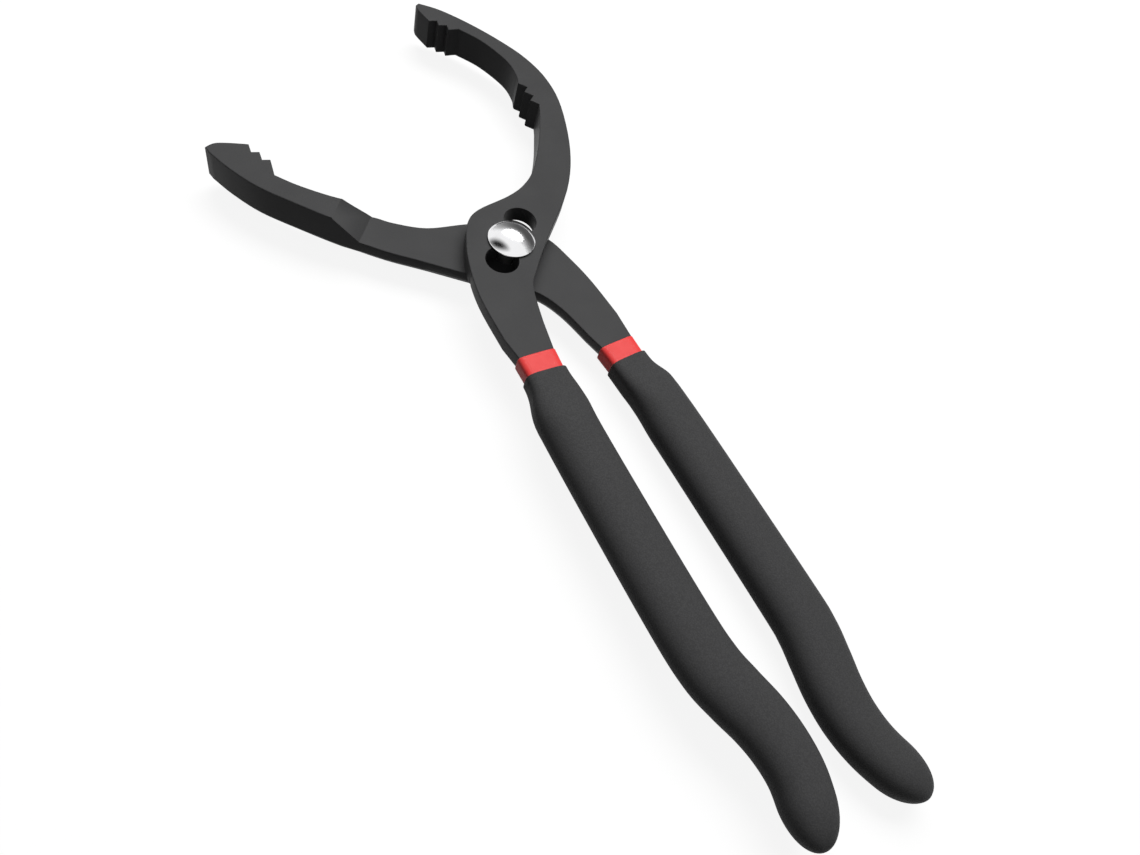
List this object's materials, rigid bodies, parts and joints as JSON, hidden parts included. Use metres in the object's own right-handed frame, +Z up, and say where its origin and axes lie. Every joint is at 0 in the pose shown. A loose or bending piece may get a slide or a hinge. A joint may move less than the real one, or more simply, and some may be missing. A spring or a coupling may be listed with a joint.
{
  "type": "oil filter pliers",
  "caption": "Slip-joint pliers for gripping spin-on oil filters: hooked and straight toothed jaws on lapped levers, bolt in a seated slot, dipped handles.",
  "frame": {"origin": "on the bolt's axis, on the flat lower end of the bolt, which is flush with the nut's outer face", "axes": "+Z up along the bolt towards its domed head, +Y along the tool towards the jaws, +X towards the hooked jaw"},
  "size_m": [0.1206, 0.3034, 0.0191],
  "materials": {
    "black_steel": "satin black coating on forged steel",
    "chrome": "polished chrome plating",
    "red_dip": "glossy red dipped vinyl",
    "black_grip": "matt black dipped vinyl with a fine grain"
  },
  "bodies": {
    "front": {"front_lever": "black_steel", "front_liner": "red_dip", "front_grip": "black_grip"},
    "pivot": {"pivot_bolt": "chrome", "pivot_nut": "chrome"},
    "rear": {"rear_lever": "black_steel", "rear_liner": "red_dip", "rear_grip": "black_grip"}
  },
  "joints": [
    {"name": "slip", "type": "slide", "parent": "front", "child": "pivot", "axis": [0.7193, 0.6947, 0], "range_m": [-0.009, 0.009]},
    {"name": "swing", "type": "hinge", "parent": "pivot", "child": "rear", "pos_m": [0, 0, 0.0065], "axis": [0, 0, 1], "range_deg": [0, 50]}
  ]
}
